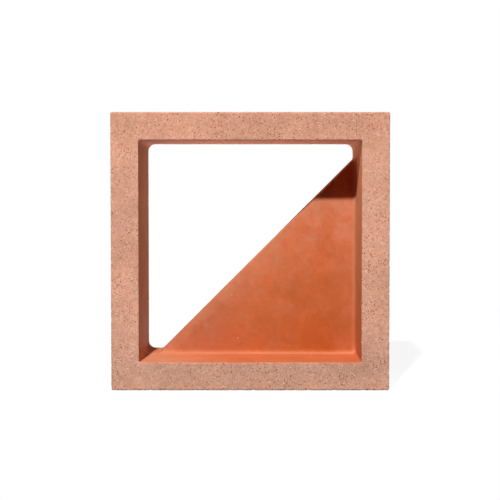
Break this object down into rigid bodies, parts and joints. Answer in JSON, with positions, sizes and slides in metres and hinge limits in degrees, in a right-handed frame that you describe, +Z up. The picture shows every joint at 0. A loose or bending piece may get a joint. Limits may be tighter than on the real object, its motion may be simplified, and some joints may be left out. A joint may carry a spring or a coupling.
{
  "type": "breeze block",
  "caption": "Square cast concrete screen block: a deep frame, open at the front, half closed by a triangular web set flush with the back, for see-through walls.",
  "frame": {"origin": "middle of the rectangle that the block stands on", "axes": "+X to the right as seen from the front, +Y from the front face to the back, +Z up"},
  "size_m": [0.3, 0.1, 0.3],
  "materials": {
    "concrete": "matt"
  },
  "bodies": {
    "root": {"breeze_block": "concrete"}
  },
  "joints": []
}
